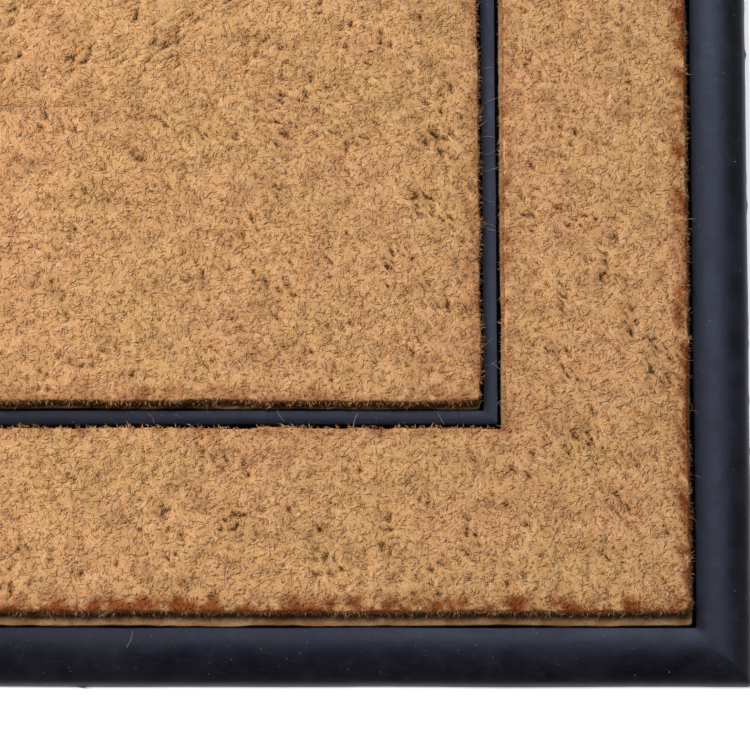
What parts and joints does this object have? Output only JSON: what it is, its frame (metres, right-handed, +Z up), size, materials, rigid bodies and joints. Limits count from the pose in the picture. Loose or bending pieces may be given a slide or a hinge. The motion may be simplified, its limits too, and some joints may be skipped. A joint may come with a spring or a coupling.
{
  "type": "door mat",
  "caption": "Rectangular door mat: a black rubber tray with a domed border and dividing rib, filled with a tan coir band round a coir centre panel.",
  "frame": {"origin": "middle of the footprint, at the bottom of the foot ring, on the floor", "axes": "+X along the mat's length, +Y towards its back edge, +Z up out of the tread face"},
  "size_m": [0.99, 0.61, 0.016],
  "materials": {
    "tray_rubber": "satin",
    "coir_pile": "matte",
    "coir_backing": "matte",
    "latex_adhesive": "satin"
  },
  "bodies": {
    "root": {"rubber_tray": "tray_rubber", "border_adhesive": "latex_adhesive", "centre_adhesive": "latex_adhesive", "border_coir_backing": "coir_backing", "centre_coir_backing": "coir_backing", "border_coir_pile": "coir_pile", "centre_coir_pile": "coir_pile"}
  },
  "joints": []
}
